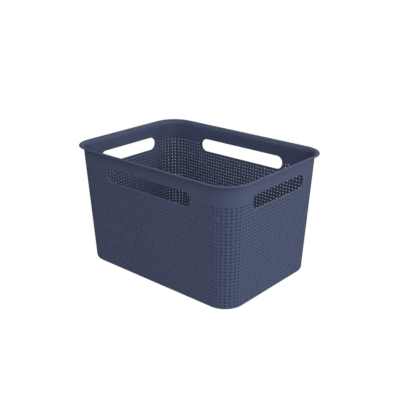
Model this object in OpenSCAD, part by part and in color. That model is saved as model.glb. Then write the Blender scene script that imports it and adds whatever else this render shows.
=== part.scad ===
// Perforated one-piece storage basket with four hand slots.
// Millimetres, +Z up, origin on the resting plane under the middle of the
// basket, X along the long side. The front is the -Y side.
// The basket is a single plastic moulding: the nodes are its regions, and they
// meet face to face on flat planes.

/* [Overall] */
// Overall height, resting plane to top of rim
height = 217.4; // [140:0.2:260]
// Outer length of the walls under the rim
head_length = 353.4; // [338:0.2:380]
// Outer width of the walls under the rim
head_width = 253.4; // [236:0.2:280]
// Outer length of the walls at the resting plane
foot_length = 335.8; // [300:0.2:352]
// Outer width of the walls at the resting plane
foot_width = 234.8; // [200:0.2:252]

/* [Walls] */
// Wall thickness
wall_t = 2.0; // [1.4:0.1:2.6]
// Outer radius of the four upright corners
corner_r = 37; // [25:0.5:50]
// Radius of the rounded edge around the bottom
edge_r = 4.6; // [3.8:0.1:6]
// Height of the smooth grip band between the perforated walls and the rim
band_h = 45.9; // [44:0.1:60]

/* [Base] */
// Height of the inside floor above the resting plane
floor_z = 3.2; // [2.8:0.1:3.6]
// Depth of the recess under the base
foot_recess = 1.2; // [0.6:0.1:1.4]
// Width of the flat resting ring around the base
foot_ring_w = 9; // [6:0.5:16]

/* [Hand slots] */
// Depth of the slot centres below the top of the rim
slot_drop = 39; // [24:0.5:40]
// Height of a slot, and so twice its end radius
slot_h = 24; // [20:0.5:26]
// Length of the slots in the two long sides
long_slot = 191; // [100:1:220]
// Length of the slots in the two short sides
short_slot = 140; // [80:1:160]

/* [Rim] */
// Inside radius of the curve that turns the wall outwards
flare_r = 6; // [4:0.25:7]
// How far the rim stands out from the wall
rim_out = 8.3; // [7.4:0.1:12]

/* [Smoothness] */
// Flats in each quarter-circle of the upright corners
corner_steps = 16; // [8:1:24]

/* [Hidden] */

navy = [0.27, 0.32, 0.44];
rim_z = height - flare_r - wall_t;      // where the wall starts to turn outwards
band_z = rim_z - band_h;                // where the perforated walls end
slot_z = height - slot_drop;
slot_r = slot_h / 2;
base_levels = [0, 0.25, 0.7, 1.4, 2.2, floor_z];

// outer half length and half width of the walls at height z
function half_x(z) = foot_length / 2 + (head_length - foot_length) / 2 * z / rim_z;
function half_y(z) = foot_width / 2 + (head_width - foot_width) / 2 * z / rim_z;

// how far the rounded bottom edge draws the outside in at height z
function edge_in(z) = z >= edge_r ? 0
    : edge_r - sqrt(max(0, edge_r * edge_r - (edge_r - z) * (edge_r - z)));

// points of one corner arc; q = 0 back right, 1 back left, 2 front left, 3 front right
function arc_pts(q, z, r) = [for (i = [0:corner_steps])
    let (a = 90 * q + 90 * i / corner_steps,
         sx = (q == 0 || q == 3) ? 1 : -1,
         sy = q < 2 ? 1 : -1)
    [sx * (half_x(z) - corner_r) + r * cos(a),
     sy * (half_y(z) - corner_r) + r * sin(a), z]];

function ring_pts(z, inset) =
    [for (q = [0:3]) each arc_pts(q, z, corner_r - inset)];

function reversed(v) = [for (i = [len(v) - 1:-1:0]) v[i]];

// outline of a wall corner's section at height z
function corner_pts(q, z) = concat(arc_pts(q, z, corner_r - edge_in(z)),
                                   reversed(arc_pts(q, z, corner_r - wall_t)));

// section of the flat wall on one side; y-facing walls use long = true
function flat_pts(long, s, z) =
    let (u = long ? half_x(z) - corner_r : half_y(z) - corner_r,
         o = (long ? half_y(z) : half_x(z)) - edge_in(z),
         n = (long ? half_y(z) : half_x(z)) - wall_t)
    long ? (s > 0 ? [[u, o, z], [-u, o, z], [-u, n, z], [u, n, z]]
                  : [[-u, -o, z], [u, -o, z], [u, -n, z], [-u, -n, z]])
         : (s > 0 ? [[o, -u, z], [o, u, z], [n, u, z], [n, -u, z]]
                  : [[-o, u, z], [-o, -u, z], [-n, -u, z], [-n, u, z]]);

// closed solid through a stack of outlines that all have the same point count;
// a banded outline is an outer and an inner line of equal count, and its ends
// are capped by strips from one line to the other
module loft(loops, banded = false) {
    n = len(loops[0]);
    top = (len(loops) - 1) * n;
    cap = banded ? [for (i = [0:n / 2 - 2]) [i, i + 1, n - 2 - i, n - 1 - i]]
                 : [[for (i = [0:n - 1]) i]];
    polyhedron(
        points = [for (l = loops) each l],
        faces = concat(
            cap,
            [for (f = cap) [for (i = [len(f) - 1:-1:0]) top + f[i]]],
            [for (k = [0:len(loops) - 2], i = [0:n - 1])
                let (j = (i + 1) % n)
                [k * n + i, (k + 1) * n + i, (k + 1) * n + j, k * n + j]]));
}

module rounded_plate(l, w, r, h) {
    linear_extrude(h) {
        square([l - 2 * r, w], center = true);
        square([l, w - 2 * r], center = true);
        for (x = [-1, 1], y = [-1, 1])
            translate([x * (l / 2 - r), y * (w / 2 - r)]) circle(r = r, $fn = 96);
    }
}

// floor, rounded bottom edge and resting ring
module base_pan() {
    color(navy)
    difference() {
        loft([for (z = base_levels) ring_pts(z, edge_in(z))]);
        translate([0, 0, -1])
            rounded_plate(foot_length - 2 * (edge_r + foot_ring_w),
                          foot_width - 2 * (edge_r + foot_ring_w),
                          corner_r - edge_r - foot_ring_w, 1 + foot_recess);
    }
}

// flat perforated wall, from the floor to the grip band
module flat_wall(long, s) {
    color(navy)
    loft([for (z = [floor_z, edge_r, band_z]) flat_pts(long, s, z)]);
}
module front_wall() flat_wall(true, -1);
module back_wall() flat_wall(true, 1);
module left_wall() flat_wall(false, -1);
module right_wall() flat_wall(false, 1);

// upright rounded corner, from the floor to the rim
module wall_corner(q) {
    color(navy)
    loft([for (z = [floor_z, edge_r, rim_z]) corner_pts(q, z)], banded = true);
}
module back_right_corner() wall_corner(0);
module back_left_corner() wall_corner(1);
module front_left_corner() wall_corner(2);
module front_right_corner() wall_corner(3);

// hand slot along X, cut through along Y
module slot_tool(l) {
    cube([l - slot_h, 60, slot_h], center = true);
    for (s = [-1, 1])
        translate([s * (l / 2 - slot_r), 0, 0])
            rotate([90, 0, 0]) cylinder(r = slot_r, h = 60, center = true, $fn = 96);
}

// smooth band with its hand slot, between the perforated wall and the rim
module grip_band(long, s) {
    color(navy)
    difference() {
        loft([for (z = [band_z, rim_z]) flat_pts(long, s, z)]);
        if (long)
            translate([0, s * half_y(slot_z), slot_z]) slot_tool(long_slot);
        else
            translate([s * half_x(slot_z), 0, slot_z]) rotate([0, 0, 90]) slot_tool(short_slot);
    }
}
module front_grip_band() grip_band(true, -1);
module back_grip_band() grip_band(true, 1);
module left_grip_band() grip_band(false, -1);
module right_grip_band() grip_band(false, 1);

// section of the flared rim: x outwards from the wall's outer face, y up
module rim_profile() {
    intersection() {
        translate([-wall_t, rim_z]) square([wall_t + flare_r, flare_r + wall_t]);
        translate([flare_r, rim_z]) difference() {
            circle(r = flare_r + wall_t, $fn = 96);
            circle(r = flare_r, $fn = 96);
        }
    }
    translate([flare_r, height - wall_t]) square([rim_out - flare_r - wall_t / 2, wall_t]);
    translate([rim_out - wall_t / 2, height - wall_t / 2]) circle(r = wall_t / 2, $fn = 48);
}

// rim along one side, with half of each corner; built on the back side
module rim_back_side(half_l, half_w) {
    u = half_l - corner_r;
    v = half_w - corner_r;
    translate([-u, half_w, 0]) rotate([90, 0, 90]) linear_extrude(2 * u) rim_profile();
    translate([u, v, 0]) rotate([0, 0, 45])
        rotate_extrude(angle = 45, $fn = 192) translate([corner_r, 0]) rim_profile();
    translate([-u, v, 0]) rotate([0, 0, 90])
        rotate_extrude(angle = 45, $fn = 192) translate([corner_r, 0]) rim_profile();
}
module back_rim() color(navy) rim_back_side(head_length / 2, head_width / 2);
module front_rim() color(navy) rotate([0, 0, 180]) rim_back_side(head_length / 2, head_width / 2);
module left_rim() color(navy) rotate([0, 0, 90]) rim_back_side(head_width / 2, head_length / 2);
module right_rim() color(navy) rotate([0, 0, -90]) rim_back_side(head_width / 2, head_length / 2);

base_pan();
front_wall();
back_wall();
left_wall();
right_wall();
front_left_corner();
front_right_corner();
back_left_corner();
back_right_corner();
front_grip_band();
back_grip_band();
left_grip_band();
right_grip_band();
front_rim();
back_rim();
left_rim();
right_rim();
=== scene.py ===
import math
import bpy
import numpy as np
from mathutils import Matrix, Vector
from mathutils.geometry import delaunay_2d_cdt


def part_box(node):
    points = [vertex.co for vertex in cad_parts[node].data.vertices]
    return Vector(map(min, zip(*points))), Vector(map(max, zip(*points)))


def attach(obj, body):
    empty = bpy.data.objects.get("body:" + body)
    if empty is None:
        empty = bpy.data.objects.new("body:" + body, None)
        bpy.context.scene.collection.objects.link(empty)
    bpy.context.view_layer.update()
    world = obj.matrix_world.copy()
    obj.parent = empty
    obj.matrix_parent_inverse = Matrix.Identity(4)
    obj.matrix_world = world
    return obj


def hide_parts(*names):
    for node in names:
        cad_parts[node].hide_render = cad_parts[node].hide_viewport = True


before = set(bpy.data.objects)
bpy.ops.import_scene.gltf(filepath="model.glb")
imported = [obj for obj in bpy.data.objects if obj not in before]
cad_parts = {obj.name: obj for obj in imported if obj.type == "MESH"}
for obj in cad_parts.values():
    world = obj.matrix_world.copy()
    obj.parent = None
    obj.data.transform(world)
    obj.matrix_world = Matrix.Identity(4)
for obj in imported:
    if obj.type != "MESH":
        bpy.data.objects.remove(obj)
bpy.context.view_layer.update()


def box_mm(node):
    return [[round(c * 1000.0, 3) for c in corner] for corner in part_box(node)]


# ---------------------------------------------------------------- dimensions
RIM_Z = box_mm("front_rim")[0][2]            # where the wall starts to flare
TOP_Z = box_mm("front_rim")[1][2]
BAND_Z = box_mm("front_grip_band")[0][2]
FLOOR_Z = box_mm("base_pan")[1][2]
HX_RIM, HX_BAND = box_mm("right_grip_band")[1][0], box_mm("right_wall")[1][0]
HY_RIM, HY_BAND = box_mm("back_grip_band")[1][1], box_mm("back_wall")[1][1]
RIM_OUT = box_mm("right_rim")[1][0] - HX_RIM
KX = (HX_RIM - HX_BAND) / (RIM_Z - BAND_Z)   # taper, outwards per unit height
KY = (HY_RIM - HY_BAND) / (RIM_Z - BAND_Z)
R = 37.0                                     # outer radius of the corners
T = 2.0                                      # wall thickness
EDGE_R = 4.6                                 # fillet round the bottom
RECESS, FOOT_W = 1.2, 9.0                    # under the base
SLOT_Z = TOP_Z - 39.0
SLOT_R = 12.0
SLOT_FILLET = 0.75
HOLE, HOLE_R = 1.30, 0.60                    # half the side of a hole, corner radius
HOLE_IN, HOLE_IN_R = 0.65, 0.29              # the same where it leaves the wall inside
MOUTH = 0.22                                 # eased edge at both mouths
GRID_Z, PITCH_Z, ROWS, WALL_ROWS = 4.695, 6.11, 29, 26
REACH = 22.9                                 # last column beyond the arc start
INNER_FILLET = GRID_Z - FLOOR_Z


def half_x(z):
    return HX_RIM + KX * (z - RIM_Z)


def half_y(z):
    return HY_RIM + KY * (z - RIM_Z)


def line(k):
    """Height of the grid line under row k."""
    return GRID_Z + PITCH_Z * np.asarray(k, float)


UP = np.array([0.0, 0.0, 1.0])


def unit(v):
    return v / np.linalg.norm(v, axis=-1, keepdims=True)


class Side:
    """One side of the basket: n points outwards, u runs to the right."""

    def __init__(self, name, n, right, long, slot_half):
        self.name = name
        self.n, self.r = np.array([*n, 0.0]), np.array([*right, 0.0])
        self.half_u, self.half_n = (half_x, half_y) if long else (half_y, half_x)
        self.ku, self.kn = (KX, KY) if long else (KY, KX)
        self.cols = 25 if long else 17       # the last column is number cols
        self.flat = 21 if long else 13       # the last one on the flat wall
        self.slot_half = slot_half

    def cu(self, z):
        return self.half_u(z) - R

    def cn(self, z):
        return self.half_n(z) - R

    def pitch(self, z):
        return (self.cu(z) + REACH) / self.cols

    def put(self, u, d, z):
        u, d, z = np.broadcast_arrays(*[np.asarray(c, float)[..., None] for c in (u, d, z)])
        return self.r * u + self.n * d + UP * z

    def _arc(self, u, z, depth):
        q = np.clip(np.abs(u) - self.cu(z), 0, None)
        return q, np.sqrt((R - depth) ** 2 - q * q)

    def skin(self, u, z, depth=0.0):
        """Distance from the middle of the outer face, or of the inner one."""
        return self.cn(z) + self._arc(u, z, depth)[1]

    def normal(self, u, z, depth=0.0):
        u, z = np.broadcast_arrays(np.asarray(u, float), np.asarray(z, float))
        q, s = self._arc(u, z, depth)
        t = (q / s)[..., None]
        v = (self.n + np.sign(u)[..., None] * t * self.r
             - (self.kn + t * self.ku) * UP)
        return unit(v) if depth == 0 else -unit(v)

    def bounds_u(self, j, z, depth, end):
        """Left (end -1) or right (end 1) limit of column j at height z."""
        u = (j + 0.5 * end) * self.pitch(z)
        return np.where(j == end * self.cols,
                        end * (self.cu(z) + (R - depth) * math.sqrt(0.5)), u)

    def column_points(self, j, z, depth, mid):
        """Points across column j on a grid line: limits and hole edges."""
        c, h = j * self.pitch(z), HOLE + MOUTH
        pts = [self.bounds_u(j, z, depth, -1), c - h] + ([c] if mid else []) + [
            c + h, self.bounds_u(j, z, depth, 1)]
        return np.stack(np.broadcast_arrays(*pts), -1)

    def row_points(self, js, z, depth, mid):
        """The same for a run of columns, each shared limit once."""
        p = self.column_points(np.asarray(js, float), z, depth, mid)
        return np.concatenate([p[:, :-1].ravel(), p[-1:, -1]])


SIDES = {
    "front": Side("front", (0, -1), (1, 0), True, 95.5),
    "right": Side("right", (1, 0), (0, 1), False, 70.0),
    "back": Side("back", (0, 1), (-1, 0), True, 95.5),
    "left": Side("left", (-1, 0), (0, -1), False, 70.0),
}


# ------------------------------------------------------------- mesh assembly
class Skin:
    """Polygons with their own corner normals, welded into one closed mesh."""

    def __init__(self):
        self.parts = []

    def add(self, pos, nrm, rub_and_shade=0.0, flat=False):
        """pos and nrm are (polygons, corners, 3); the rub value is how much the spot gets handled,
        and below zero, in the holes, it is the painted shade there; flat is for parting faces."""
        pos = np.asarray(pos, float)
        nrm = np.broadcast_to(np.asarray(nrm, float), pos.shape)
        rub_and_shade = np.broadcast_to(np.asarray(rub_and_shade, float), pos.shape[:2])
        self.parts.append((pos, nrm, rub_and_shade, flat))

    def strip(self, a, b, na, nb=None, ra=0.0, rb=0.0, closed=False, flat=False):
        """Quads a[i], a[i+1], b[i+1], b[i] between two lines of points."""
        nb = na if nb is None else nb
        n = len(a)
        i = np.arange(n if closed else n - 1)
        k = (i + 1) % n
        na, nb = (np.broadcast_to(np.asarray(v, float), a.shape) for v in (na, nb))
        ra, rb = (np.broadcast_to(np.asarray(v, float), (n,)) for v in (ra, rb))
        self.add(np.stack([a[i], a[k], b[k], b[i]], 1),
                 np.stack([na[i], na[k], nb[k], nb[i]], 1),
                 np.stack([ra[i], ra[k], rb[k], rb[i]], 1), flat)

    def build(self, name, node, material):
        pos = np.concatenate([p[0].reshape(-1, 3) for p in self.parts])
        nrm = np.concatenate([p[1].reshape(-1, 3) for p in self.parts])
        rub_and_shade = np.concatenate([p[2].ravel() for p in self.parts])
        sizes = np.concatenate([np.full(p[0].shape[0], p[0].shape[1]) for p in self.parts])
        smooth = np.concatenate([np.full(p[0].shape[0], not p[3]) for p in self.parts])
        _, first, index = np.unique(np.round(pos, 4) + 0.0, axis=0,
                                    return_index=True, return_inverse=True)
        index = index.ravel()
        starts = np.concatenate([[0], np.cumsum(sizes)[:-1]])
        mesh = bpy.data.meshes.new(name)
        mesh.vertices.add(len(first))
        mesh.vertices.foreach_set("co", (pos[first] * 0.001).astype(np.float32).ravel())
        mesh.loops.add(len(index))
        mesh.loops.foreach_set("vertex_index", index.astype(np.int32))
        mesh.polygons.add(len(sizes))
        mesh.polygons.foreach_set("loop_start", starts.astype(np.int32))
        mesh.polygons.foreach_set("use_smooth", smooth)
        mesh.update(calc_edges=True)
        # edge wear above zero and painted shade on the hole walls below zero, in one attribute
        wear_and_hole_shade = mesh.attributes.new("wear_and_hole_shade", "FLOAT", "POINT")
        worn, hole_shade = np.zeros(len(first), np.float32), np.zeros(len(first), np.float32)
        np.maximum.at(worn, index, rub_and_shade.astype(np.float32))
        np.minimum.at(hole_shade, index, rub_and_shade.astype(np.float32))
        wear_and_hole_shade.data.foreach_set("value", worn + hole_shade)
        mesh.normals_split_custom_set(unit(nrm).tolist())
        mesh.materials.append(material)
        ob = bpy.data.objects.new(name, mesh)
        bpy.context.scene.collection.objects.link(ob)
        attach(ob, "root")
        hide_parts(node)
        return ob


def rounded_square(half, radius, steps=3):
    """Points and outward directions, from the bottom right corner upwards."""
    pts, dirs = [], []
    for c, (sx, sz) in enumerate([(1, -1), (1, 1), (-1, 1), (-1, -1)]):
        for i in range(steps + 1):
            a = math.radians(-90 + 90 * c + 90 * i / steps)
            e = (math.cos(a), math.sin(a))
            pts.append((sx * (half - radius) + radius * e[0],
                        sz * (half - radius) + radius * e[1]))
            dirs.append(e)
    return np.array(pts), np.array(dirs)


FACE_RING, RING_DIR = rounded_square(HOLE + MOUTH, HOLE_R + MOUTH)
BACK_RING, _ = rounded_square(HOLE_IN + MOUTH, HOLE_IN_R + MOUTH)
THROAT_OUT, _ = rounded_square(HOLE, HOLE_R)
THROAT_IN, _ = rounded_square(HOLE_IN, HOLE_IN_R)
BR, TR, TL, BL = (list(range(4 * c, 4 * c + 4)) for c in range(4))


def hole_walls(skin, side, uc, zc, hole_shade=1.0):
    """Eased mouths and walls of the holes centred at uc, zc; the last argument sets how much painted
    shade the walls get.
    """
    def ring(pts, depth, sink):
        u, z = uc[:, None] + pts[:, 0], zc[:, None] + pts[:, 1]
        face = side.normal(u, z, depth)
        return side.put(u, side.skin(u, z, depth), z) - sink * face, face

    m, nm = ring(FACE_RING, 0.0, 0.0)
    t, _ = ring(THROAT_OUT, 0.0, MOUTH)
    b, _ = ring(THROAT_IN, T, MOUTH)
    i, ni = ring(BACK_RING, T, 0.0)
    wall = np.cross(np.roll(t, 1, 1) - np.roll(t, -1, 1), b - t)
    wall = unit(wall * np.sign((wall * side.put(-RING_DIR[:, 0], 0.0, -RING_DIR[:, 1])).sum(
        -1, keepdims=True)))
    a = np.arange(16)
    c = (a + 1) % 16
    for p, q, n_p, n_q, r_p, r_q in ((m, t, nm, wall, 0.0, -hole_shade), (t, b, wall, wall, -hole_shade, -hole_shade),
                                     (b, i, wall, ni, -hole_shade, 0.0)):
        quad = np.stack([p[:, a], p[:, c], q[:, c], q[:, a]], 2)
        nrm = np.stack([n_p[:, a], n_p[:, c], n_q[:, c], n_q[:, a]], 2)
        skin.add(quad.reshape(-1, 4, 3), nrm.reshape(-1, 4, 3), [r_p, r_p, r_q, r_q])


def cells(skin, side, js, ks, mid):
    """Wall cells with one hole each, for all columns js and rows ks."""
    j, k = (g.ravel().astype(float) for g in np.meshgrid(js, ks))
    z0, z1 = line(k), line(k + 1)
    zc = (z0 + z1) / 2
    uc = j * side.pitch(zc)
    nb = 5 if mid else 4
    b, t = list(range(nb)), list(range(nb, 2 * nb))
    at = lambda ids: [2 * nb + i for i in ids]
    faces = [
        [b[0], b[1]] + at([BL[0], TL[3]]) + [t[1], t[0]],
        [b[-2], b[-1], t[-1], t[-2]] + at([TR[0], BR[3]]),
        b[1:-1] + at(BR[::-1] + BL[::-1]),
        t[1:-1][::-1] + at(TL[::-1] + TR[::-1]),
    ]
    for depth, ring in ((0.0, FACE_RING), (T, BACK_RING)):
        low = side.column_points(j, z0, depth, mid)
        top = side.column_points(j, z1, depth, mid)
        u = np.concatenate([low, top, uc[:, None] + ring[:, 0]], 1)
        z = np.concatenate([np.repeat(z0[:, None], nb, 1), np.repeat(z1[:, None], nb, 1),
                            zc[:, None] + ring[:, 1]], 1)
        pos, nrm = side.put(u, side.skin(u, z, depth), z), side.normal(u, z, depth)
        for f in faces:
            f = f if depth == 0 else f[::-1]
            skin.add(pos[:, f], nrm[:, f])
    # corner holes get nearly twice the painted shade on their walls
    hole_walls(skin, side, uc, zc, 1.0 if side.flat > 15 and not mid else 1.9)


def edge_line(side, u, z, depth):
    return side.put(u, side.skin(u, z, depth), z)


def cap_level(skin, side, js, z, mid, top):
    """Closes the wall at a level, below or on top."""
    o = edge_line(side, side.row_points(js, z, 0.0, mid), z, 0.0)
    i = edge_line(side, side.row_points(js, z, T, mid), z, T)
    if top:
        skin.strip(o, i, UP, flat=True)
    else:
        skin.strip(i, o, -UP, flat=True)


def cap_upright(skin, side, a, zs, right):
    """Closes the wall at column coordinate a, along the heights zs."""
    zs = np.asarray(zs, float)
    u = a * side.pitch(zs)
    o, i = edge_line(side, u, zs, 0.0), edge_line(side, u, zs, T)
    if right:
        skin.strip(i, o, side.r, flat=True)
    else:
        skin.strip(o, i, -side.r, flat=True)


# -------------------------------------------------------------------- pieces
def flat_wall(side):
    skin = Skin()
    js = np.arange(-side.flat, side.flat + 1)
    cells(skin, side, js, np.arange(WALL_ROWS), False)
    cap_level(skin, side, js, line(0), False, False)
    cap_level(skin, side, js, line(WALL_ROWS), False, True)
    zs = line(np.arange(WALL_ROWS + 1))
    cap_upright(skin, side, side.flat + 0.5, zs, True)
    cap_upright(skin, side, -side.flat - 0.5, zs, False)
    return skin


def corner(a, b):
    """The corner at the right end of side a and the left end of side b."""
    skin = Skin()
    runs = ((a, np.arange(a.flat + 1, a.cols + 1)), (b, np.arange(-b.cols, -b.flat)))
    levels = [line(ROWS), (line(ROWS) + RIM_Z) / 2, RIM_Z]
    for side, js in runs:
        cells(skin, side, js, np.arange(ROWS), True)
        for z0, z1 in zip(levels, levels[1:]):
            for depth in (0.0, T):
                u0, u1 = (side.row_points(js, z, depth, True) for z in (z0, z1))
                p0, p1 = edge_line(side, u0, z0, depth), edge_line(side, u1, z1, depth)
                n0, n1 = side.normal(u0, z0, depth), side.normal(u1, z1, depth)
                if depth == 0:
                    skin.strip(p0, p1, n0, n1)
                else:
                    skin.strip(p1, p0, n1, n0)
        cap_level(skin, side, js, line(0), True, False)
        cap_level(skin, side, js, RIM_Z, True, True)
    zs = np.concatenate([line(np.arange(ROWS + 1)), levels[1:]])
    cap_upright(skin, a, a.flat + 0.5, zs, False)
    cap_upright(skin, b, -b.flat - 0.5, zs, True)
    return skin


def stadium(half, radius, arc=28, straight=8):
    """Outline of the hand slot about its centre, anticlockwise, with outward
    directions; the same count of points at every radius."""
    reach = half - SLOT_R
    pts, dirs = [], []
    for s, start in ((1, -90), (-1, 90)):
        for i in range(arc + 1):
            ang = math.radians(start + 180 * i / arc)
            e = (math.cos(ang), math.sin(ang))
            pts.append((s * reach + radius * e[0], radius * e[1]))
            dirs.append(e)
        for i in range(1, straight):
            pts.append((s * reach * (1 - 2 * i / straight), s * radius))
            dirs.append((0.0, float(s)))
    return np.array(pts), np.array(dirs)


def band_holes(side):
    """Centres of the holes beside the slot, in the rows above the flat wall."""
    found = []
    for k in range(WALL_ROWS, ROWS):
        z = float(line(k) + PITCH_Z / 2)
        for j in range(1, side.flat + 1):
            u = j * float(side.pitch(z))
            over = math.hypot(max(u - (side.slot_half - SLOT_R), 0), z - SLOT_Z) - SLOT_R
            if over > 4.0:
                found += [(u, z), (-u, z)]
    return np.array(sorted(found))


def grip_band(side):
    skin = Skin()
    a = side.flat + 0.5
    levels = [float(line(k)) for k in range(WALL_ROWS, ROWS + 1)] + [
        float(line(ROWS) + RIM_Z) / 2, RIM_Z]
    ends = np.array([side.flat])
    tail = [float(v) for v in side.column_points(ends.astype(float), levels[0], 0.0, False)[0][:3]]
    outer = [(u, levels[0]) for u in [-a * side.pitch(levels[0])] + [-v for v in tail[::-1]] + tail]
    outer += [(a * side.pitch(z), z) for z in levels]
    outer += [(-a * side.pitch(z), z) for z in levels[:0:-1]]
    holes = band_holes(side)
    centre = np.array([0.0, SLOT_Z])
    loops = [(np.array(outer),) * 2,
             (stadium(side.slot_half, SLOT_R + SLOT_FILLET)[0] + centre,) * 2]
    loops += [(h + FACE_RING, h + BACK_RING) for h in holes]
    owner = np.concatenate([[n] * len(lp[0]) for n, lp in enumerate(loops)])
    edges = []
    for n, (pts, _) in enumerate(loops):
        base = int(np.argmax(owner == n))
        edges += [(base + i, base + (i + 1) % len(pts)) for i in range(len(pts))]
    for n, depth in enumerate((0.0, T)):
        pts = np.concatenate([lp[n] for lp in loops])
        out = delaunay_2d_cdt([Vector(p) for p in pts], edges, [], 1, 1e-5)
        back = [src[0] for src in out[3]]
        tri = np.array([[back[v] for v in f] for f in out[2]])
        own = owner[tri]
        tri = tri[~((own[:, 0] == own[:, 1]) & (own[:, 1] == own[:, 2]) & (own[:, 0] > 0))]
        p, q, r = (pts[tri[:, c]] for c in range(3))
        turn = (q[:, 0] - p[:, 0]) * (r[:, 1] - p[:, 1]) - (q[:, 1] - p[:, 1]) * (r[:, 0] - p[:, 0])
        tri, turn = tri[np.abs(turn) > 1e-7], turn[np.abs(turn) > 1e-7]
        tri[(turn < 0) != (n == 1)] = tri[(turn < 0) != (n == 1)][:, ::-1]
        u, z = pts[:, 0], pts[:, 1]
        pos, nrm = side.put(u, side.skin(u, z, depth), z), side.normal(u, z, depth)
        skin.add(pos[tri], nrm[tri])
    hole_walls(skin, side, holes[:, 0], holes[:, 1])
    # outline of the piece
    ends = loops[0][0]
    rim = [edge_line(side, ends[:, 0], ends[:, 1], d) for d in (0.0, T)]
    i = np.arange(len(outer))
    k = (i + 1) % len(outer)
    away = unit(np.cross(rim[0][k] - rim[0][i], side.n))
    skin.add(np.stack([rim[0][k], rim[0][i], rim[1][i], rim[1][k]], 1),
             np.repeat(away[:, None], 4, 1), flat=True)
    # rounded edge of the slot, through the wall
    steps = [(SLOT_FILLET * (1 - math.sin(b)), SLOT_FILLET * (1 - math.cos(b)), b)
             for b in (math.radians(90 * s / 5) for s in range(6))]
    rings = []
    for depth, course in ((0.0, steps), (T, steps[::-1])):
        for spread, sink, b in course:
            pts, dirs = stadium(side.slot_half, SLOT_R + spread)
            u, z = pts[:, 0], pts[:, 1] + SLOT_Z
            d = side.skin(u, z, depth) + (sink if depth else -sink)
            into = -(dirs[:, :1] * side.r + dirs[:, 1:] * UP)
            rings.append((side.put(u, d, z), unit(math.cos(b) * side.normal(u, z, depth)
                                                  + math.sin(b) * into), math.sin(b) ** 2))
    for (p0, n0, r0), (p1, n1, r1) in zip(rings, rings[1:]):
        skin.strip(p0, p1, n0, n1, r0, r1, closed=True)
    return skin


def corner_angles(side, z):
    """Angles of the grid points on the corner arc, from the side's normal."""
    js = np.arange(side.flat + 1, side.cols + 1)
    q = side.row_points(js, z, 0.0, True) - side.cu(z)
    q = q[q > 0.3]
    return np.arcsin(np.clip(q / R, 0, math.sin(math.pi / 4)))


def stations(side, z, flats, left=True, right=True):
    """(fraction of the flat length, angle) round one side, left to right."""
    ang = corner_angles(side, z)
    out = [(-1.0, -a) for a in ang[::-1]] if left else []
    out += [(f, 0.0) for f in np.linspace(-1, 1, flats)]
    out += [(1.0, a) for a in ang] if right else []
    return np.array(out)


def swept(side, st, d, z, at_z=None):
    """Points at distance d outside the wall's outer line at height z."""
    z_of = z if at_z is None else at_z
    s, c = np.sin(st[:, 1]), np.cos(st[:, 1])
    return side.put(st[:, 0] * side.cu(z_of) + (R + d) * s, side.cn(z_of) + (R + d) * c, z)


def facing(side, st):
    return np.sin(st[:, 1:2]) * side.r + np.cos(st[:, 1:2]) * side.n


def rim(side):
    """Flared rim along one side: (d, z, direction of the normal, rub)."""
    skin = Skin()
    st = stations(side, RIM_Z, 13)
    face = facing(side, st)
    flare = TOP_Z - T - RIM_Z                # radius of the under side
    prof = []
    lean = math.degrees(math.atan(side.kn))
    for i in range(13):                      # under side, from the wall up
        a = 90 * i / 12
        prof.append((flare - flare * math.cos(math.radians(a)),
                     RIM_Z + flare * math.sin(math.radians(a)), -max(a, lean), 0.0))
    tip = T / 2
    mid = RIM_OUT - tip
    for i in range(0, 13):                   # round edge
        a = -90 + 180 * i / 12
        prof.append((mid + tip * math.cos(math.radians(a)),
                     TOP_Z - tip + tip * math.sin(math.radians(a)), a,
                     math.cos(math.radians(a)) ** 2))
    big = flare + T
    for i in range(17):                      # upper side, back down to the wall
        a = 90 - 90 * i / 16
        prof.append((flare - big * math.cos(math.radians(a)),
                     RIM_Z + big * math.sin(math.radians(a)), 180 - max(a, lean), 0.0))
    rings = []
    for d, z, a, r in prof:
        nrm = math.cos(math.radians(a)) * face + math.sin(math.radians(a)) * UP
        rings.append((swept(side, st, d, z, RIM_Z), nrm, r))
    for (p0, n0, r0), (p1, n1, r1) in zip(rings, rings[1:]):
        skin.strip(p0, p1, n0, n1, r0, r1)
    skin.strip(rings[-1][0], rings[0][0], -UP, flat=True)
    lower, upper = rings[:13 + 7], rings[13 + 6:][::-1]
    for end, sign in ((0, -1), (-1, 1)):
        out = sign * unit(np.cross(UP, face[end]))
        lo = np.array([p[end] for p, _, _ in lower])
        hi = np.array([p[end] for p, _, _ in upper])
        n = max(len(lo), len(hi))
        for i in range(n - 1):
            quad = [lo[min(i, len(lo) - 1)], lo[min(i + 1, len(lo) - 1)],
                    hi[min(i + 1, len(hi) - 1)], hi[min(i, len(hi) - 1)]]
            keep = [quad[c] for c in range(4)
                    if np.abs(quad[c] - quad[(c + 1) % 4]).max() > 1e-6]
            if len(keep) > 2:
                keep = keep[::-1] if end else keep
                skin.add([keep], out, flat=True)
    return skin


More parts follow.
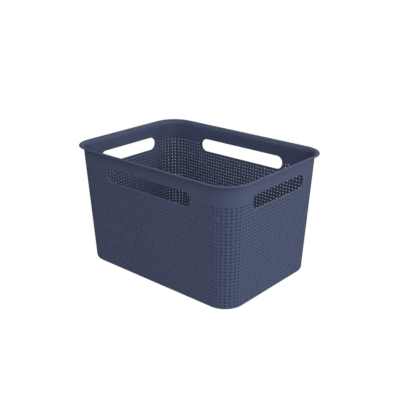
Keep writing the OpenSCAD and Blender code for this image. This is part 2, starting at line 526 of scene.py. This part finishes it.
def base():
    """Floor, rounded bottom edge, resting ring and the recess under it."""
    skin = Skin()
    order = ["front", "right", "back", "left"]
    per = []
    for n, name in enumerate(order):
        side = SIDES[name]
        st = stations(side, line(0), 9)
        per.append((side, st[1:]))           # the last of one side is the first of the next
    gather = lambda fn: np.concatenate([fn(side, st) for side, st in per])
    face = gather(facing)
    taper = gather(lambda side, st: (np.sin(np.abs(st[:, 1:2])) * side.ku
                                     + np.cos(st[:, 1:2]) * side.kn))

    def ring(d, z):
        return gather(lambda side, st: swept(
            side, np.stack([st[:, 0], st[:, 1]], 1), d, float(z)))

    outside = [(0.0, float(line(0)), 0.0)]
    for i in range(9):                       # rounded bottom edge
        b = math.radians(90 * i / 8)
        outside.append((-EDGE_R * (1 - math.cos(b)), EDGE_R * (1 - math.sin(b)), b))
    rings = []
    for d, z, b in outside:
        rings.append((ring(d, z), unit(math.cos(b) * face - (math.sin(b)
                      + math.cos(b) * taper) * UP), math.sin(b) ** 2))
    # resting ring, then the step up into the recess, with small radii
    inner = EDGE_R + FOOT_W
    small = 0.4
    for i in range(5):
        b = math.radians(90 * i / 4)
        rings.append((ring(-inner + small - small * math.sin(b), small * (1 - math.cos(b))),
                      unit(-math.cos(b) * UP - math.sin(b) * face), 0.0))
    for i in range(5):
        b = math.radians(90 * i / 4)
        rings.append((ring(-inner - small * (1 - math.cos(b)), RECESS - small * (1 - math.sin(b))),
                      unit(-math.sin(b) * UP - math.cos(b) * face), 0.0))
    for (p0, n0, r0), (p1, n1, r1) in zip(rings, rings[1:]):
        skin.strip(p1, p0, n1, n0, r1, r0, closed=True)
    # recessed face, in to the gate mark at its middle
    last = rings[-1][0]
    ang = np.arctan2(last[:, 1], last[:, 0])
    circle = lambda r, z: np.stack([r * np.cos(ang), r * np.sin(ang), np.full(len(ang), z)], 1)
    radial = np.stack([np.cos(ang), np.sin(ang), np.zeros(len(ang))], 1)
    under = [(last, -UP), (last * [0.55, 0.55, 1.0], -UP), (circle(11.0, RECESS), -UP),
             (circle(7.0, RECESS), -UP), (circle(6.2, RECESS + 0.12), unit(-UP - 0.3 * radial)),
             (circle(5.4, RECESS + 0.25), -UP), (circle(2.1, RECESS + 0.25), -UP),
             (circle(1.9, RECESS + 0.1), unit(radial - 0.4 * UP)),
             (circle(1.7, RECESS - 0.35), unit(radial - 0.4 * UP)),
             (circle(1.4, RECESS - 0.5), -UP)]
    for (p0, n0), (p1, n1) in zip(under, under[1:]):
        skin.strip(p1, p0, n1, n0, closed=True)
    skin.add([under[-1][0][::-1]], -UP)
    # inside: fillet from the wall down to the floor, and the floor
    inside = []
    for i in range(6):
        b = math.radians(90 * i / 5)
        inside.append((ring(-T - INNER_FILLET * (1 - math.cos(b)),
                            FLOOR_Z + INNER_FILLET * (1 - math.sin(b))),
                       unit(-math.cos(b) * face + (math.sin(b) + math.cos(b) * taper) * UP)))
    inside.append((ring(-16.0, FLOOR_Z), UP))
    for (p0, n0), (p1, n1) in zip(inside, inside[1:]):
        skin.strip(p0, p1, n0, n1, closed=True)
    skin.add([inside[-1][0]], UP)
    skin.strip(rings[0][0], inside[0][0], UP, closed=True, flat=True)
    return skin


# ------------------------------------------------------------------ material
def node(tree, kind, **values):
    n = tree.nodes.new(kind)
    for key, value in values.items():
        if key in n.inputs:
            n.inputs[key].default_value = value
        else:
            setattr(n, key, value)
    return n


def mix_colour(tree, factor, a, b):
    m = tree.nodes.new("ShaderNodeMix")
    m.data_type = "RGBA"
    tree.links.new(factor, m.inputs[0])
    for socket, value in ((m.inputs[6], a), (m.inputs[7], b)):
        if isinstance(value, tuple):
            socket.default_value = value
        else:
            tree.links.new(value, socket)
    return m.outputs[2]


def math_node(tree, operation, *values, clamp=False):
    m = tree.nodes.new("ShaderNodeMath")
    m.operation, m.use_clamp = operation, clamp
    for socket, value in zip(m.inputs, values):
        if isinstance(value, (int, float)):
            socket.default_value = value
        else:
            tree.links.new(value, socket)
    return m.outputs[0]


def map_range(tree, value, a, b, c, d):
    m = tree.nodes.new("ShaderNodeMapRange")
    tree.links.new(value, m.inputs[0])
    for socket, v in zip(list(m.inputs)[1:5], (a, b, c, d)):
        socket.default_value = v
    return m.outputs[0]


NAVY = (0.0615, 0.0815, 0.1640)


def moulded_plastic():
    """Matte pigmented polypropylene with a fine spark-eroded grain."""
    m = bpy.data.materials.new("matte_navy_polypropylene")
    m.use_nodes = True
    tree = m.node_tree
    bsdf = tree.nodes["Principled BSDF"]
    where = tree.nodes.new("ShaderNodeTexCoord").outputs["Object"]

    def noise(scale, detail=2.0, rough=0.5):
        n = node(tree, "ShaderNodeTexNoise", Scale=scale, Detail=detail, Roughness=rough)
        tree.links.new(where, n.inputs["Vector"])
        return n.outputs["Fac"]

    shade = lambda k, tint=(1, 1, 1): (*[c * k * t for c, t in zip(NAVY, tint)], 1.0)
    cloud = map_range(tree, noise(9.0, 3.0), 0.3, 0.7, 0.0, 1.0)
    colour = mix_colour(tree, cloud, shade(0.955, (1.01, 1.0, 0.99)), shade(1.045, (0.99, 1.0, 1.01)))
    # pigment: a fine mottle, with lighter specks where the grain catches
    mottle = map_range(tree, noise(320.0, 3.0, 0.6), 0.38, 0.62, 0.0, 0.45)
    colour = mix_colour(tree, mottle, colour, shade(0.90))
    speck = map_range(tree, noise(1100.0, 2.0, 0.6), 0.42, 0.66, 0.0, 0.5)
    colour = mix_colour(tree, speck, colour, shade(1.30))
    # the attribute holds edge wear above zero and the painted shade of the hole walls below zero
    rub_and_shade = tree.nodes.new("ShaderNodeAttribute")
    rub_and_shade.attribute_name = "wear_and_hole_shade"
    # painted shade: the walls of the holes are darkened towards a deeper navy, nearly twice as much
    # in the corners, for the shade inside the holes
    hole_shade = math_node(tree, "MULTIPLY", rub_and_shade.outputs["Fac"], -0.5, clamp=True)
    colour = mix_colour(tree, hole_shade, colour, shade(0.62))
    # handled edges: a little lighter and more polished, broken up by noise
    patch = map_range(tree, noise(55.0, 4.0, 0.65), 0.35, 0.7, 0.15, 1.0)
    worn = math_node(tree, "MULTIPLY", rub_and_shade.outputs["Fac"], patch, clamp=True)
    colour = mix_colour(tree, math_node(tree, "MULTIPLY", worn, 0.5), colour, shade(1.45))
    tree.links.new(colour, bsdf.inputs["Base Color"])
    rough = map_range(tree, noise(28.0, 3.0), 0.3, 0.7, 0.53, 0.61)
    rough = math_node(tree, "SUBTRACT", rough, math_node(tree, "MULTIPLY", worn, 0.14))
    tree.links.new(rough, bsdf.inputs["Roughness"])
    bsdf.inputs["Specular IOR Level"].default_value = 0.5
    bsdf.inputs["IOR"].default_value = 1.49
    # grain: pits about 0.35 mm across over a softer 1 mm unevenness
    cell = node(tree, "ShaderNodeTexVoronoi", Scale=2600.0)
    tree.links.new(where, cell.inputs["Vector"])
    height = math_node(tree, "ADD", math_node(tree, "MULTIPLY", cell.outputs["Distance"], 0.5),
                       noise(1500.0, 2.0, 0.6))
    fine = node(tree, "ShaderNodeBump", Strength=0.6, Distance=0.00008)
    tree.links.new(height, fine.inputs["Height"])
    broad = node(tree, "ShaderNodeBump", Strength=0.25, Distance=0.0004)
    tree.links.new(noise(45.0, 1.0), broad.inputs["Height"])
    tree.links.new(fine.outputs["Normal"], broad.inputs["Normal"])
    tree.links.new(broad.outputs["Normal"], bsdf.inputs["Normal"])
    return m


# --------------------------------------------------------------------- build
material = moulded_plastic()
F, RT, BK, LF = (SIDES[n] for n in ("front", "right", "back", "left"))
base().build("base_shell", "base_pan", material)
for s in (F, BK, LF, RT):
    flat_wall(s).build(s.name + "_wall_shell", s.name + "_wall", material)
for first, second, label in ((F, RT, "front_right"), (RT, BK, "back_right"),
                             (BK, LF, "back_left"), (LF, F, "front_left")):
    corner(first, second).build(label + "_corner_shell", label + "_corner", material)
for s in (F, BK, LF, RT):
    grip_band(s).build(s.name + "_grip_band_shell", s.name + "_grip_band", material)
for s in (F, BK, LF, RT):
    rim(s).build(s.name + "_flared_rim", s.name + "_rim", material)


# --------------------------------------------------------------------- stage
def surface_material(name):
    m = bpy.data.materials.new(name)
    m.use_nodes = True
    m.node_tree.nodes.clear()
    return m


def lit_floor():
    """Pale floor: reads white, and gives the object only a soft bounce."""
    m = surface_material("pale_floor")
    t = m.node_tree
    out = t.nodes.new("ShaderNodeOutputMaterial")
    ray = t.nodes.new("ShaderNodeLightPath")
    seen = node(t, "ShaderNodeEmission", Color=(1, 1, 1, 1), Strength=1.0)
    soft = node(t, "ShaderNodeBsdfDiffuse", Color=(0.3, 0.3, 0.3, 1))
    # the lit pool round the basket, fading out over half a metre
    where = t.nodes.new("ShaderNodeTexCoord").outputs["Object"]
    reach = t.nodes.new("ShaderNodeVectorMath")
    reach.operation = "LENGTH"
    t.links.new(where, reach.inputs[0])
    fall = math_node(t, "POWER", math_node(t, "DIVIDE", reach.outputs["Value"], 0.55), 4.0)
    pool = math_node(t, "DIVIDE", 0.19, math_node(t, "ADD", fall, 1.0))
    table = node(t, "ShaderNodeEmission", Color=(1, 1, 1, 1))
    t.links.new(pool, table.inputs["Strength"])
    bounce = t.nodes.new("ShaderNodeAddShader")
    t.links.new(soft.outputs[0], bounce.inputs[0])
    t.links.new(table.outputs[0], bounce.inputs[1])
    mix = t.nodes.new("ShaderNodeMixShader")
    t.links.new(ray.outputs["Is Camera Ray"], mix.inputs[0])
    t.links.new(bounce.outputs[0], mix.inputs[1])
    t.links.new(seen.outputs[0], mix.inputs[2])
    t.links.new(mix.outputs[0], out.inputs["Surface"])
    return m


def floor_plane(half=9.0, cuts=12):
    xs = np.linspace(-half, half, cuts + 1)
    verts = [(x, y, 0.0) for y in xs for x in xs]
    n = cuts + 1
    faces = [(r * n + c, r * n + c + 1, (r + 1) * n + c + 1, (r + 1) * n + c)
             for r in range(cuts) for c in range(cuts)]
    mesh = bpy.data.meshes.new("studio_floor")
    mesh.from_pydata(verts, [], faces)
    mesh.materials.append(lit_floor())
    ob = bpy.data.objects.new("studio_floor", mesh)
    bpy.context.scene.collection.objects.link(ob)
    return ob


floor_plane()

world = bpy.data.worlds.new("studio_white")
world.use_nodes = True
wt = world.node_tree
wt.nodes.clear()
w_out = wt.nodes.new("ShaderNodeOutputWorld")
w_ray = wt.nodes.new("ShaderNodeLightPath")
w_dim = node(wt, "ShaderNodeBackground", Color=(1, 1, 1, 1), Strength=0.0)
w_white = node(wt, "ShaderNodeBackground", Color=(1, 1, 1, 1), Strength=1.2)
w_mix = wt.nodes.new("ShaderNodeMixShader")
wt.links.new(w_ray.outputs["Is Camera Ray"], w_mix.inputs[0])
wt.links.new(w_dim.outputs[0], w_mix.inputs[1])
wt.links.new(w_white.outputs[0], w_mix.inputs[2])
wt.links.new(w_mix.outputs[0], w_out.inputs["Surface"])
bpy.context.scene.world = world


def soft_box(name, azimuth, elevation, distance, size, power, aim=(0.0, 0.0, 0.1)):
    """Square area light looking at the basket; azimuth 0 is the -Y side."""
    light = bpy.data.lights.new(name, "AREA")
    light.shape, light.size, light.energy = "SQUARE", size, power
    a, e = math.radians(azimuth), math.radians(elevation)
    back = Vector((math.sin(a) * math.cos(e), -math.cos(a) * math.cos(e), math.sin(e)))
    ob = bpy.data.objects.new(name, light)
    ob.location = Vector(aim) + back * distance
    ob.rotation_mode = "QUATERNION"
    ob.rotation_quaternion = back.to_track_quat("Z", "Y")
    bpy.context.scene.collection.objects.link(ob)
    return ob


soft_box("key_box", 30, 45, 2.0, 1.0, 10.5)
soft_box("key_side_box", 60, 45, 2.0, 1.0, 3.4)
soft_box("key_low_box", 60, 4, 2.0, 1.0, 13.5)
soft_box("right_box", 120, 45, 2.0, 1.0, 10.6)
soft_box("right_low_box", 120, 4, 2.0, 1.0, 14.1)
soft_box("fill_box", -60, 45, 2.0, 1.0, 4.7)
soft_box("fill_low_box", -30, 22, 2.0, 1.0, 4.2)
soft_box("back_box", -150, 35, 2.0, 1.0, 6.0)

# -------------------------------------------------------------------- camera
# A shift-free view from the front right, 41 degrees round and 21 above.
azim, elev = math.radians(41.134), math.radians(20.856)
back = Vector((math.sin(azim) * math.cos(elev), -math.cos(azim) * math.cos(elev),
               math.sin(elev)))
right = Vector((math.cos(azim), math.sin(azim), 0.0))
up = back.cross(right)
camera_data = bpy.data.cameras.new("studio_camera")
camera_data.sensor_width = 36.0
camera_data.lens = 676.051 * 36.0 / 400.0
camera_data.clip_start, camera_data.clip_end = 0.05, 60.0
camera = bpy.data.objects.new("studio_camera", camera_data)
place = Vector((0, 0, 0.110)) + back * 1.2172 + right * 0.005088 + up * 0.008884
camera.matrix_world = Matrix((
    (right.x, up.x, back.x, place.x),
    (right.y, up.y, back.y, place.y),
    (right.z, up.z, back.z, place.z),
    (0, 0, 0, 1)))
bpy.context.scene.collection.objects.link(camera)
bpy.context.scene.camera = camera

bpy.context.scene.view_settings.view_transform = "Standard"
bpy.context.scene.view_settings.look = "None"
bpy.context.scene.view_settings.exposure = 0.0
bpy.context.scene.view_settings.gamma = 1.0
